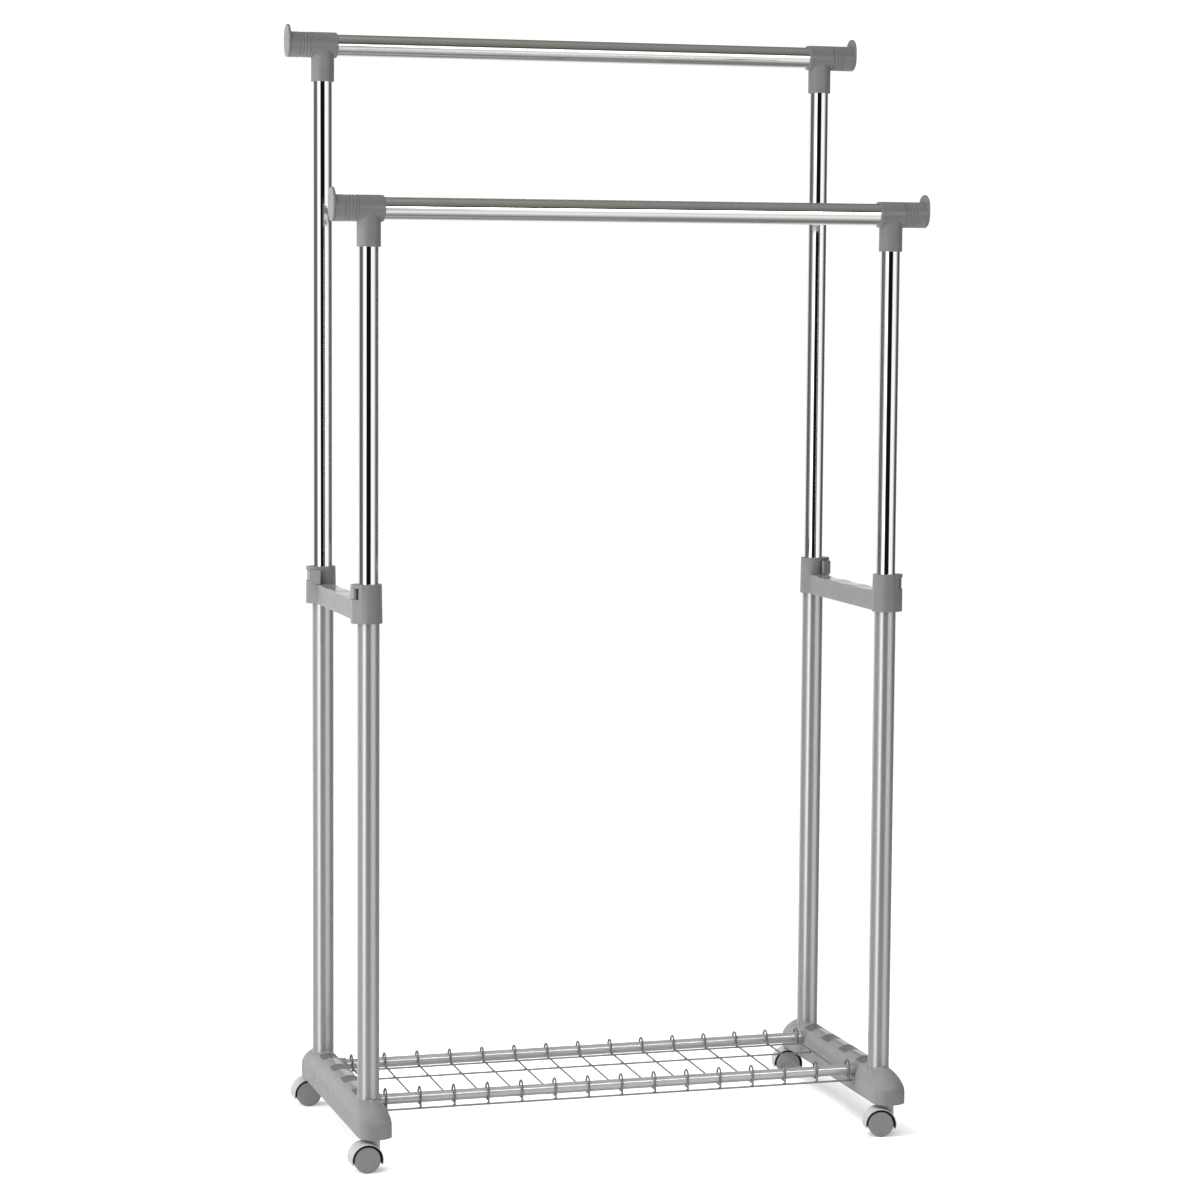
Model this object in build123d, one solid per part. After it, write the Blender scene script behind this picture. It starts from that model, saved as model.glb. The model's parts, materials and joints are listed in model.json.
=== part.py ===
from build123d import *
import math
import os

# Rolling clothes rack with two hanging rails at different heights, in millimetres.
# X runs along the rails, Y from front to rear and Z up.
# The origin is on the floor, midway between the four uprights.

# Layout of the frame: spacing of the upright axes, heights of the rail axes and of the bracket
upright_span_x = 686.0
upright_span_y = 272.0
front_rail_height = 1194.0
rear_rail_height = 1409.0
bracket_top = 731.0

# Fits: radial clearance of fixed seats, of turning or sliding fits, and the gap between moving faces
seat_clearance = 0.05
slide_clearance = 0.06
part_gap = 0.4

# Uprights
lower_tube_diameter = 28.0
lower_tube_wall = 1.0
upper_tube_diameter = 25.0
upper_tube_wall = 1.0
upper_tube_hold = 97.55
guide_height = 10.0
guide_spigot = 15.0
guide_bore = 16.0

# Hanging rails and their pull-out ends
rail_diameter = 28.0
rail_wall = 1.0
extension_gap = 0.5
extension_wall = 1.0
extension_inner_length = 300.0

# Tee fittings, reaches counted from the upright axis and the leg from the rail axis
tee_wall = 2.5
tee_inner_reach = 18.5
tee_shoulder = 0.5
tee_leg_length = 47.0
tee_floor = 1.5
tee_mouth_radius = 1.8

# End stops
stop_sleeve_length = 28.4
stop_disc_thickness = 3.5
stop_disc_height = 42.5
stop_disc_edge = 1.2
stop_socket_floor = 3.0
groove_count = 4
groove_pitch = 4.3
groove_width = 2.6
groove_depth = 0.6
groove_start = 1.9

# Bracket: two collars joined by a bar with shallow dips along its top
bracket_height = 48.5
collar_wall = 2.6
collar_draft = 0.8
bar_width = 21.0
bar_height = 26.0
bar_wall = 2.6
dip_count = 3
dip_length = 52.0
dip_depth = 1.0

# Lock on the outer side of each collar: a tapered housing with an open slot and a swinging lever
lock_housing_depth = 4.5
lock_flank_angle = 38.0
lock_corner_radius = 1.5
lock_cap = 4.6
lock_slot_height = 14.0
lock_floor = 4.4
lock_guide_wall = 2.0
lever_set_back = 1.8
lever_thickness = 2.4
lever_tail = 5.8
knuckle_radius = 2.3
lever_pin_diameter = 3.0
lever_pin_offset = 4.0
lever_pin_seat = 3.0
nose_offset = 3.0
nose_width = 5.0
nose_window_margin = 2.5
thumb_width = 12.2
thumb_angle = 30.0
thumb_gap = 2.0
thumb_thickness = 4.5
thumb_drop = 3.8
thumb_edge = 1.0

# Base mouldings
base_length = 381.0
base_width = 43.0
base_height = 43.0
base_wall = 2.6
base_crown = 22.0
base_nose_length = 44.5
base_nose_upright = 9.0
base_nose_bulge = 10.5
base_corner_radius = 7.0
tube_socket_floor = 9.0
recess_count = 4
recess_pitch = 66.0
recess_length = 27.0
recess_width = 21.0
recess_corner = 4.0
recess_depth = 1.2
cavity_rib_count = 2
cavity_rib = 3.0

# Shelf rails and the sockets that hold them on the inner side of the bases
shelf_rail_diameter = 14.0
shelf_rail_wall = 1.0
shelf_rail_offset = 99.5
shelf_rail_rise = 29.0
shelf_socket_wall = 2.2
shelf_socket_reach = 23.0
shelf_socket_depth = 14.0
shelf_socket_margin = 6.0

# Wire shelf: cross wires with a hook at each end, welded onto runner wires
wire_diameter = 2.4
weld_depth = 0.4
cross_wire_count = 15
shelf_end_inset = 30.1
front_wire_drop = 11.0
rear_wire_drop = 4.0
wire_bend_radius = 4.0
front_hook_height = 7.8
rear_hook_height = 6.7
hook_reach = 6.4
hook_flat = 0.2
runner_overhang = 6.0
front_runner_inset = 2.5
runner_inner_positions = (-27.0, 38.0)
rear_runner_inset = 4.0

# Castors: hooded twin wheels that trail behind a turning stem
wheel_diameter = 33.2
wheel_width = 11.2
wheel_edge = 1.6
wheel_face = 1.9
castor_trail = 13.0
castor_inset = 12.5
castor_web = 4.8
castor_side_gap = 0.6
axle_diameter = 5.0
hood_gap = 2.4
hood_wall = 1.2
hood_skirt = 5.5
swivel_boss_diameter = 11.0
swivel_boss_rise = 3.9
stem_diameter = 8.0
stem_seat = 7.6
stem_reach = 25.5
left_swivel_angle = 0.0
right_swivel_angle = -12.0

# Sizes that follow from the ones above
lower_radius = lower_tube_diameter / 2
upper_radius = upper_tube_diameter / 2
rail_radius = rail_diameter / 2
extension_radius = rail_radius - rail_wall - extension_gap
tee_radius = rail_radius + tee_wall
tee_leg_radius = upper_radius + tee_wall
tee_outer_reach = tee_leg_radius + tee_shoulder
highest_rail = max(front_rail_height, rear_rail_height)
upper_tube_length = highest_rail - rail_radius - seat_clearance - tee_floor - bracket_top + upper_tube_hold
wheel_radius = wheel_diameter / 2
hood_inner = wheel_radius + hood_gap
hood_outer = hood_inner + hood_wall
swivel_boss_top = wheel_radius + hood_outer + swivel_boss_rise
base_underside = swivel_boss_top + part_gap
base_top = base_underside + base_height
tube_foot = base_underside + tube_socket_floor
collar_top_radius = lower_radius + collar_wall
collar_foot_radius = collar_top_radius + collar_draft
bracket_bottom = bracket_top - bracket_height
bar_top = bracket_bottom + bar_height
slot_top = bracket_top - lock_cap
slot_bottom = slot_top - lock_slot_height
lower_tube_top = slot_bottom - lock_floor
lock_reach = collar_foot_radius + lock_housing_depth
shelf_rail_radius = shelf_rail_diameter / 2
shelf_rail_height = base_underside + shelf_rail_rise
shelf_socket_face = upright_span_x / 2 - shelf_socket_reach
wire_radius = wire_diameter / 2
cross_wire_pitch = (upright_span_x - 2 * shelf_end_inset) / (cross_wire_count - 1)
castor_offset = base_length / 2 - castor_inset

sides = {"left": -1, "right": 1}
rows = {"front": -1, "rear": 1}
rail_heights = {"front": front_rail_height, "rear": rear_rail_height}
swivel_angles = {"left": left_swivel_angle, "right": right_swivel_angle}


def rod_z(radius, low, high):
    """Upright cylinder between two heights."""
    return Pos(0, 0, (low + high) / 2) * Cylinder(radius, high - low)


def rod_x(radius, low, high):
    """Cylinder along X between two stations."""
    return Pos((low + high) / 2, 0, 0) * Rot(0, 90, 0) * Cylinder(radius, high - low)


def rod_y(radius, low, high):
    """Cylinder along Y between two stations."""
    return Pos(0, (low + high) / 2, 0) * Rot(90, 0, 0) * Cylinder(radius, high - low)


def block(low, high):
    """Box between two opposite corners."""
    middle = [(a + b) / 2 for a, b in zip(low, high)]
    size = [b - a for a, b in zip(low, high)]
    return Pos(*middle) * Box(*size)


def to_side(piece, side):
    """A piece made for the right-hand side, mirrored when it goes on the left."""
    return piece if sides[side] > 0 else mirror(piece, about=Plane.YZ)


def to_row(piece, row):
    """A piece made for the front row, mirrored when it goes in the rear row."""
    return piece if rows[row] < 0 else mirror(piece, about=Plane.XZ)


def upright_place(side, row):
    return Pos(sides[side] * upright_span_x / 2, rows[row] * upright_span_y / 2, 0)


def arch_face(inset):
    """Cross-section of a base: upright sides under a half-elliptical crown."""
    half = base_width / 2 - inset
    shoulder = base_top - base_crown
    right = Line((half, base_underside), (half, shoulder))
    crown = EllipticalCenterArc((0, shoulder), half, base_crown - inset, 0, arc_size=180)
    left = Line((-half, shoulder), (-half, base_underside))
    foot = Line((-half, base_underside), (half, base_underside))
    return Plane.XZ * make_face([right, crown, left, foot])


def base_side_face():
    """Side view of a base: a level top that rounds down to an upright nose at each end."""
    half = base_length / 2
    nose_root = half - base_nose_length
    lip = base_underside + base_nose_upright
    rise = base_top - lip
    foot = Line((-half, base_underside), (half, base_underside))
    front_lip = Line((half, base_underside), (half, lip))
    front = EllipticalCenterArc((nose_root, lip), base_nose_length, rise, 0, arc_size=90)
    ridge = Line((nose_root, base_top), (-nose_root, base_top))
    rear = EllipticalCenterArc((-nose_root, lip), base_nose_length, rise, 90, arc_size=90)
    rear_lip = Line((-half, lip), (-half, base_underside))
    return Plane.YZ * make_face([foot, front_lip, front, ridge, rear, rear_lip])


def base_plan_face():
    """Plan of a base: straight sides with bowed ends and soft corners."""
    half = base_width / 2
    tip = base_length / 2
    corner = tip - base_nose_bulge
    right = Line((half, -corner), (half, corner))
    far_end = ThreePointArc((half, corner), (0, tip), (-half, corner))
    left = Line((-half, corner), (-half, -corner))
    near_end = ThreePointArc((-half, -corner), (0, -tip), (half, -corner))
    outline = make_face([right, far_end, left, near_end])
    return fillet(outline.vertices(), base_corner_radius)


def base_recesses():
    """Shallow pockets of even depth along the crown of a base."""
    pocket = RectangleRounded(recess_width, recess_length, recess_corner)
    start = -recess_pitch * (recess_count - 1) / 2
    spots = [Pos(0, start + i * recess_pitch, base_underside) for i in range(recess_count)]
    pillars = [spot * extrude(pocket, base_height) for spot in spots]
    return Part() + pillars - extrude(arch_face(recess_depth), base_length, both=True)


def base_cavity():
    """Hollow under a base between the shelf rail sockets, crossed by ribs."""
    half = shelf_rail_offset - shelf_rail_radius - shelf_socket_margin
    hollow = extrude(arch_face(base_wall + recess_depth), half, both=True)
    step = 2 * half / (cavity_rib_count + 1)
    for i in range(cavity_rib_count):
        middle = -half + (i + 1) * step
        low = (-base_width, middle - cavity_rib / 2, base_underside)
        high = (base_width, middle + cavity_rib / 2, base_top)
        hollow -= block(low, high)
    return hollow


def make_base():
    """Right-hand base about its own middle, with the shelf rail sockets towards -X."""
    body = extrude(arch_face(0), base_length, both=True)
    body &= extrude(base_side_face(), base_width, both=True)
    body &= extrude(base_plan_face(), base_top * 2)
    body -= base_recesses()
    body -= base_cavity()
    socket_radius = shelf_rail_radius + shelf_socket_wall
    socket_end = shelf_socket_depth - shelf_socket_reach
    for row in rows.values():
        at_rail = Pos(0, row * shelf_rail_offset, shelf_rail_height)
        body += at_rail * rod_x(socket_radius, -shelf_socket_reach, 0)
    for row in rows.values():
        at_rail = Pos(0, row * shelf_rail_offset, shelf_rail_height)
        body -= at_rail * rod_x(shelf_rail_radius + seat_clearance, -shelf_socket_reach, socket_end)
        at_tube = Pos(0, row * upright_span_y / 2, 0)
        body -= at_tube * rod_z(lower_radius + seat_clearance, tube_foot, base_top)
        at_stem = Pos(0, row * castor_offset, 0)
        stem_top = base_underside + stem_reach + part_gap
        body -= at_stem * rod_z(stem_diameter / 2 + slide_clearance, base_underside, stem_top)
    return body


def make_lower_tube():
    tube = rod_z(lower_radius, tube_foot, lower_tube_top)
    return tube - rod_z(lower_radius - lower_tube_wall, tube_foot, lower_tube_top)


def upper_tube_top(row):
    return rail_heights[row] - rail_radius - seat_clearance - tee_floor


def make_upper_tube(row):
    top = upper_tube_top(row)
    tube = rod_z(upper_radius, top - upper_tube_length, top)
    return tube - rod_z(upper_radius - upper_tube_wall, top - upper_tube_length, top)


def make_guide(row):
    """Ring that closes the foot of an upper tube and runs in the lower one."""
    foot = upper_tube_top(row) - upper_tube_length
    ring_radius = lower_radius - lower_tube_wall - slide_clearance
    spigot_radius = upper_radius - upper_tube_wall - seat_clearance
    ring = rod_z(ring_radius, foot - guide_height, foot)
    spigot = rod_z(spigot_radius, foot, foot + guide_spigot)
    return ring + spigot - rod_z(guide_bore / 2, foot - guide_height, foot + guide_spigot)


def lever_pin_place():
    """Axis of the lever pin on the right-hand front collar."""
    outward = lock_reach - lever_set_back - knuckle_radius
    return Pos(outward, -lever_pin_offset, 0)


def plan_prism(points, low, high):
    """Upright prism on a plan polygon, between two heights."""
    return Pos(0, 0, low) * extrude(make_face(Polyline(*points, close=True)), high - low)


def make_collar():
    """Right-hand front collar about its tube axis, with its lock housing towards +X."""
    middle = (bracket_bottom + bracket_top) / 2
    collar = Pos(0, 0, middle) * Cone(collar_foot_radius, collar_top_radius, bracket_height)
    flank = math.radians(lock_flank_angle)
    touch_x = collar_foot_radius * math.sin(flank)
    touch_y = collar_foot_radius * math.cos(flank)
    face = touch_y - (lock_reach - touch_x) * math.tan(flank)
    outline = [(0, -touch_y), (touch_x, -touch_y), (lock_reach, -face)]
    outline += [(x, -y) for x, y in reversed(outline)]
    housing = plan_prism(outline, bracket_bottom, bracket_top)
    corners = housing.edges().filter_by(Axis.Z).sort_by(Axis.X)[-2:]
    collar += fillet(corners, lock_corner_radius)
    slot_start = upper_radius + lock_guide_wall
    slot_low = (slot_start, -2 * lock_reach, slot_bottom)
    collar -= block(slot_low, (2 * lock_reach, 2 * lock_reach, slot_top))
    window = nose_width / 2 + nose_window_margin
    low = (0, nose_offset - window, slot_bottom)
    high = (slot_start, nose_offset + window, slot_top)
    return collar - block(low, high)


def make_bracket():
    """Right-hand bracket: the two collars and the bar between them."""
    body = Part()
    for row in rows:
        body += Pos(0, rows[row] * upright_span_y / 2, 0) * to_row(make_collar(), row)
    half = upright_span_y / 2
    bar = block((-bar_width / 2, -half, bracket_bottom), (bar_width / 2, half, bar_top))
    clear_length = upright_span_y - 2 * collar_foot_radius
    dip_step = dip_length + (clear_length - dip_count * dip_length) / (dip_count + 1)
    dip_radius = (dip_length**2 / 4 + dip_depth**2) / (2 * dip_depth)
    for i in range(dip_count):
        along = (i - (dip_count - 1) / 2) * dip_step
        bar -= Pos(0, along, bar_top - dip_depth + dip_radius) * rod_x(dip_radius, -bar_width, bar_width)
    hollow_x = bar_width / 2 - bar_wall
    hollow_y = clear_length / 2 - bar_wall
    hollow_top = bar_top - dip_depth - bar_wall
    bar -= block((-hollow_x, -hollow_y, bracket_bottom), (hollow_x, hollow_y, hollow_top))
    body += bar
    for row in rows:
        at_tube = Pos(0, rows[row] * half, 0)
        body -= at_tube * rod_z(lower_radius + seat_clearance, bracket_bottom, lower_tube_top)
        body -= at_tube * rod_z(upper_radius + slide_clearance, lower_tube_top, bracket_top)
        pin_hole = lever_pin_place() * rod_z(lever_pin_diameter / 2, *lever_pin_span())
        body -= at_tube * to_row(pin_hole, row)
    return body


def lever_pin_span():
    return slot_bottom - lever_pin_seat, slot_top + lever_pin_seat


def make_lever_pin():
    return lever_pin_place() * rod_z(lever_pin_diameter / 2, *lever_pin_span())


def make_lever():
    """Lock lever of the right-hand front collar: knuckle, arm, nose and slanted thumb plate."""
    outer = lock_reach - lever_set_back
    inner = outer - lever_thickness
    low = slot_bottom + part_gap
    high = slot_top - part_gap
    slant = math.radians(thumb_angle)

    def plate_y(x, distance):
        """Y of a slanted plate face at x, the face lying at a distance from the tube axis."""
        return (distance - x * math.sin(slant)) / math.cos(slant)

    near = collar_foot_radius + thumb_gap
    far = near + thumb_thickness
    tip = outer - thumb_width
    tip_inner = tip - thumb_thickness * math.sin(slant)
    plate = [
        (inner, plate_y(inner, near)),
        (outer, plate_y(outer, far)),
        (tip, plate_y(tip, far)),
        (tip_inner, plate_y(tip_inner, near)),
    ]
    thumb = plan_prism(plate, bar_top + part_gap, bracket_top - thumb_drop)
    thumb = fillet(thumb.edges(), thumb_edge)
    arm_end = (plate_y(inner, near) + plate_y(outer, far)) / 2
    arm = block((inner, -lever_tail, low), (outer, arm_end, high))
    nose_tip = upper_radius + part_gap
    nose_side = nose_width / 2
    nose = block((nose_tip, nose_offset - nose_side, low), (outer, nose_offset + nose_side, high))
    knuckle = lever_pin_place() * rod_z(knuckle_radius, low, high)
    bore = lever_pin_place() * rod_z(lever_pin_diameter / 2 + slide_clearance, low, high)
    return arm + thumb + nose + knuckle - bore


def make_tee():
    """Right-hand tee about the crossing of its rail and upright axes."""
    sleeve = rod_x(tee_radius, -tee_inner_reach, tee_outer_reach)
    mouth = sleeve.edges().filter_by(GeomType.CIRCLE).sort_by(Axis.X)[0]
    sleeve = fillet(mouth, tee_mouth_radius)
    tee = sleeve + rod_z(tee_leg_radius, -tee_leg_length, 0)
    tee -= rod_x(rail_radius + seat_clearance, -tee_inner_reach, tee_outer_reach)
    tube_end = -rail_radius - seat_clearance - tee_floor
    return tee - rod_z(upper_radius + seat_clearance, -tee_leg_length, tube_end)


def make_end_stop():
    """Right-hand end stop about the same crossing: ribbed sleeve and raised end disc."""
    start = tee_outer_reach + part_gap
    disc_face = start + stop_sleeve_length
    stop = rod_x(tee_radius, start, disc_face)
    groove_radius = (groove_width**2 / 4 + groove_depth**2) / (2 * groove_depth)
    groove = Rot(0, 90, 0) * Torus(tee_radius - groove_depth + groove_radius, groove_radius)
    for i in range(groove_count):
        stop -= Pos(start + groove_start + i * groove_pitch, 0, 0) * groove
    disc = extrude(SlotOverall(stop_disc_height, 2 * tee_radius), stop_disc_thickness)
    disc = fillet(disc.edges(), stop_disc_edge)
    rise = stop_disc_height / 2 - tee_radius
    stop += Pos(disc_face, 0, rise) * Rot(0, 90, 0) * disc
    socket_end = disc_face + stop_disc_thickness - stop_socket_floor
    return stop - rod_x(extension_radius + seat_clearance, start, socket_end)


def make_extension():
    """Right-hand extension tube, from inside the rail to the floor of its end stop."""
    end = tee_outer_reach + part_gap + stop_sleeve_length + stop_disc_thickness - stop_socket_floor
    tube = rod_x(extension_radius, -extension_inner_length, end)
    return tube - rod_x(extension_radius - extension_wall, -extension_inner_length, end)


def make_rail():
    half = upright_span_x / 2 + tee_outer_reach
    return rod_x(rail_radius, -half, half) - rod_x(rail_radius - rail_wall, -half, half)


def make_shelf_rail():
    half = shelf_socket_face + shelf_socket_depth
    return rod_x(shelf_rail_radius, -half, half) - rod_x(shelf_rail_radius - shelf_rail_wall, -half, half)


def wire_legs():
    """Stations along Y of the front and rear wire legs, both in front of their shelf rail."""
    stand_off = shelf_rail_radius + wire_radius + hook_flat
    return -shelf_rail_offset - stand_off, shelf_rail_offset - stand_off


def hook_levels(height):
    """Heights of the crest of a hook over its shelf rail and of the tip that lands on the rail's back."""
    landing = math.sqrt(shelf_rail_radius**2 - (hook_reach - wire_radius) ** 2)
    return shelf_rail_height + shelf_rail_radius + height - wire_radius, shelf_rail_height + landing + hook_flat


def hook_radius(height):
    """Bend of a hook, a half round from its leg to its tip where the tip is long enough."""
    crest, tip = hook_levels(height)
    span = shelf_rail_radius + wire_radius + hook_flat + hook_reach
    return min(span / 2, crest - tip) - seat_clearance


def hook_points(leg, drop, height):
    """Leg foot, the two corners over the hook and its tip behind the axis of the shelf rail."""
    crest, tip = hook_levels(height)
    back = leg + shelf_rail_radius + wire_radius + hook_flat + hook_reach
    return (0, leg, shelf_rail_height - drop), (0, leg, crest), (0, back, crest), (0, back, tip)


def make_cross_wire():
    front_leg, rear_leg = wire_legs()
    front = hook_points(front_leg, front_wire_drop, front_hook_height)
    rear = hook_points(rear_leg, rear_wire_drop, rear_hook_height)
    radii = [hook_radius(front_hook_height)] * 2 + [wire_bend_radius] * 2 + [hook_radius(rear_hook_height)] * 2
    path = FilletPolyline(*reversed(front), *rear, radius=radii)
    section = Plane(origin=path @ 0, z_dir=path % 0) * Circle(wire_radius)
    return sweep(section, path=path)


def shelf_level(y):
    """Height of the cross wire axis at a station along Y."""
    front_leg, rear_leg = wire_legs()
    share = (y - front_leg) / (rear_leg - front_leg)
    return shelf_rail_height - front_wire_drop + share * (front_wire_drop - rear_wire_drop)


def make_wire_shelf():
    """Cross wires laid over four runner wires and welded at each crossing."""
    front_leg, rear_leg = wire_legs()
    half = cross_wire_pitch * (cross_wire_count - 1) / 2
    stations = [front_leg + front_runner_inset, *runner_inner_positions, rear_leg - rear_runner_inset]
    under = wire_diameter - weld_depth
    reach = half + runner_overhang
    shelf = [Pos(0, y, shelf_level(y) - under) * rod_x(wire_radius, -reach, reach) for y in stations]
    wire = make_cross_wire()
    shelf += [Pos(i * cross_wire_pitch - half, 0, 0) * wire for i in range(cross_wire_count)]
    return Part() + shelf


def castor_place(side, row):
    x = sides[side] * upright_span_x / 2
    return Pos(x, rows[row] * castor_offset, 0) * Rot(0, 0, swivel_angles[side])


def axle_place():
    """Centre of the wheels, behind the stem axis."""
    return Pos(-castor_trail, 0, wheel_radius)


def make_hood():
    """Castor body: a web between the wheels, a hood over them and the boss for the stem."""
    half = castor_web / 2 + castor_side_gap + wheel_width
    shell = rod_y(hood_outer, -half, half) - rod_y(hood_inner, -half, half)
    shell += rod_y(hood_inner, -castor_web / 2, castor_web / 2)
    shell -= block((-hood_outer, -half, -hood_outer), (hood_outer, half, -hood_skirt))
    shell = axle_place() * (shell - rod_y(axle_diameter / 2, -half, half))
    boss = rod_z(swivel_boss_diameter / 2, wheel_radius, swivel_boss_top)
    boss -= axle_place() * rod_y(hood_inner, -half, half)
    return shell + boss - rod_z(stem_diameter / 2, swivel_boss_top - stem_seat, swivel_boss_top)


def make_stem():
    return rod_z(stem_diameter / 2, swivel_boss_top - stem_seat, base_underside + stem_reach)


def wheel_faces():
    """Inner and outer face of a wheel, counted from the middle of the castor."""
    inner = castor_web / 2 + castor_side_gap
    return inner, inner + wheel_width


def make_axle():
    inner, outer = wheel_faces()
    end = outer - wheel_face - part_gap
    return axle_place() * rod_y(axle_diameter / 2, -end, end)


def make_wheel():
    """Rear wheel of a castor: a plain tread, a smooth outer face and a blind bore."""
    inner, outer = wheel_faces()
    wheel = rod_y(wheel_radius, inner, outer)
    rim = wheel.edges().filter_by(GeomType.CIRCLE)
    wheel = fillet(rim, wheel_edge)
    return axle_place() * (wheel - rod_y(axle_diameter / 2 + slide_clearance, inner, outer - wheel_face))


def build_nodes():
    nodes = {}
    base = make_base()
    bracket = make_bracket()
    for side in sides:
        x = sides[side] * upright_span_x / 2
        nodes[f"{side}_base"] = Pos(x, 0, 0) * to_side(base, side)
        nodes[f"{side}_bracket"] = Pos(x, 0, 0) * to_side(bracket, side)
    pins = []
    for row in rows:
        y = rows[row] * upright_span_y / 2
        at_rail = Pos(0, y, rail_heights[row])
        nodes[f"{row}_rail"] = at_rail * make_rail()
        guides = []
        for side in sides:
            place = upright_place(side, row)
            joint = place * Pos(0, 0, rail_heights[row])
            name = f"{row}_{side}"
            nodes[f"{name}_lower_tube"] = place * make_lower_tube()
            nodes[f"{name}_upper_tube"] = place * make_upper_tube(row)
            nodes[f"{name}_tee"] = joint * to_side(make_tee(), side)
            nodes[f"{name}_end_stop"] = joint * to_side(make_end_stop(), side)
            nodes[f"{name}_extension_tube"] = joint * to_side(make_extension(), side)
            nodes[f"{name}_lock_lever"] = place * to_side(to_row(make_lever(), row), side)
            pins.append(place * to_side(to_row(make_lever_pin(), row), side))
            guides.append(place * make_guide(row))
        nodes[f"{row}_mast_guides"] = Compound(guides)
        nodes[f"{row}_shelf_rail"] = Pos(0, rows[row] * shelf_rail_offset, shelf_rail_height) * make_shelf_rail()
    nodes["lock_lever_pins"] = Compound(pins)
    nodes["wire_shelf"] = make_wire_shelf()
    for row in rows:
        for side in sides:
            place = castor_place(side, row)
            name = f"{row}_{side}"
            nodes[f"{name}_castor_hood"] = place * make_hood()
            nodes[f"{name}_castor_stem"] = place * make_stem()
            nodes[f"{name}_castor_axle"] = place * make_axle()
            wheel = make_wheel()
            pair = {1: wheel, -1: mirror(wheel, about=Plane.XZ)}
            nodes[f"{name}_outer_wheel"] = place * pair[rows[row]]
            nodes[f"{name}_inner_wheel"] = place * pair[-rows[row]]
    return nodes


os.makedirs("parts", exist_ok=True)
for node, solid in build_nodes().items():
    export_step(solid, f"parts/{node}.step")
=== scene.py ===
"""Rolling clothes rack with two hanging rails: surfaces, finishes and studio around the CAD frame."""

import json
import math

import bmesh
import bpy
import numpy as np
from bpy.props import FloatProperty, FloatVectorProperty, IntProperty, PointerProperty
from mathutils import Matrix, Vector


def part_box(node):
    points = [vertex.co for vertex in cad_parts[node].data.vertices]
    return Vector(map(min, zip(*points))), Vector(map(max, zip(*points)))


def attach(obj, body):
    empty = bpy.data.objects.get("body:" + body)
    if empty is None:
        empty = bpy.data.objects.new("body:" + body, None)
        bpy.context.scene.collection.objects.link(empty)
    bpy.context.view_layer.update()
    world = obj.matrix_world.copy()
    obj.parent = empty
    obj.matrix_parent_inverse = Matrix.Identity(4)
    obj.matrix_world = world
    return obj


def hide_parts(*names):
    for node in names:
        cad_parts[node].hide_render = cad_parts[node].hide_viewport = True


bl_info = {
    "name": "Rolling clothes rack",
    "version": (1, 0, 0),
    "blender": (4, 5, 0),
    "location": "View3D > Sidebar > Rack",
    "description": "Builds the visible surfaces and finishes of a rolling clothes rack on its CAD frame",
    "category": "Object",
}

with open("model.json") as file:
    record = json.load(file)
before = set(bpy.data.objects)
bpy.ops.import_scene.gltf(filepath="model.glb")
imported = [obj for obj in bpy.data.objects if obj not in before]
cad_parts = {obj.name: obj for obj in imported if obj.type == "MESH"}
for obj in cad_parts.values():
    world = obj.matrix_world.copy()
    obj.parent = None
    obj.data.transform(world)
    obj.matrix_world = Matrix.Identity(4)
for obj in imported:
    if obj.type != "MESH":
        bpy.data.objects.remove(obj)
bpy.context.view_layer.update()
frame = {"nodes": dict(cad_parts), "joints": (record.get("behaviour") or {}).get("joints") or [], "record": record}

ROWS = {"front": -1.0, "rear": 1.0}
SIDES = {"left": -1.0, "right": 1.0}
BODY_OF = {node: body for body, nodes in frame["record"]["behaviour"]["bodies"].items() for node in nodes}
SLOT_OF = {entry["node"]: entry["material_slot"] for entry in frame["record"]["subparts"]}
JOINTS = {joint["name"]: joint for joint in frame["joints"]}
FIT = 0.00005  # room between a tube and its socket


# ---- settings


def length(name, description, default):
    """A size in metres that a user may change."""
    return FloatProperty(name=name, description=description, default=default, min=0.0, precision=5, unit="LENGTH")


def colour(name, description, default):
    """A finish colour that a user may change."""
    return FloatVectorProperty(
        name=name, description=description, default=default, size=3, min=0.0, max=1.0, subtype="COLOR"
    )


def camera_angle(name, description, degrees):
    """An angle of the camera that a user may change, given in degrees."""
    return FloatProperty(name=name, description=description, default=math.radians(degrees), subtype="ANGLE")


def power(name, description, default):
    """A strength of light that a user may change."""
    return FloatProperty(name=name, description=description, default=default)


class RackSizes(bpy.types.PropertyGroup):
    """Sizes of the visible surfaces, in metres."""

    tube_wall: length("Tube wall", "Wall of the uprights, rails and shelf rails", 0.001)
    tube_sides: IntProperty(name="Tube sides", description="Faces round a tube", default=128, min=24, max=256)
    wire_radius: length("Wire radius", "Radius of the shelf wires", 0.0012)
    wire_sides: IntProperty(name="Wire sides", description="Faces round a wire", default=14, min=6, max=32)
    wire_count: IntProperty(name="Cross wires", description="Number of cross wires", default=15, min=2, max=60)
    hook_reach: length("Hook reach", "How far a hook's tip lies behind the axis of its shelf rail", 0.0064)
    wire_pitch: length("Wire pitch", "Spacing of the cross wires", 0.0447)
    deck_rear_drop: length("Deck drop", "Depth of the cross wires below the rear shelf rail's axis", 0.004)
    foot_drop: length("Foot drop", "Depth of the front feet below the front shelf rail's axis", 0.011)
    span: length("Span", "Distance between the left and right uprights", 0.686)
    shelf_rail_radius: length("Shelf rail radius", "Radius of the two shelf rails", 0.007)
    shelf_rail_offset: length("Shelf rail offset", "Distance of a shelf rail from the middle", 0.0995)
    shelf_rail_height: length("Shelf rail height", "Height of the shelf rail axes", 0.0701)
    wheel_radius: length("Wheel radius", "Radius of the castor wheels", 0.0166)
    wheel_edge: length("Wheel edge", "Rounding of the wheel rims", 0.0016)
    hood_inner: length("Hood radius", "Inner radius of the castor hoods", 0.019)
    castor_trail: length("Castor trail", "Distance of the axle behind the stem", 0.013)


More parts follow.
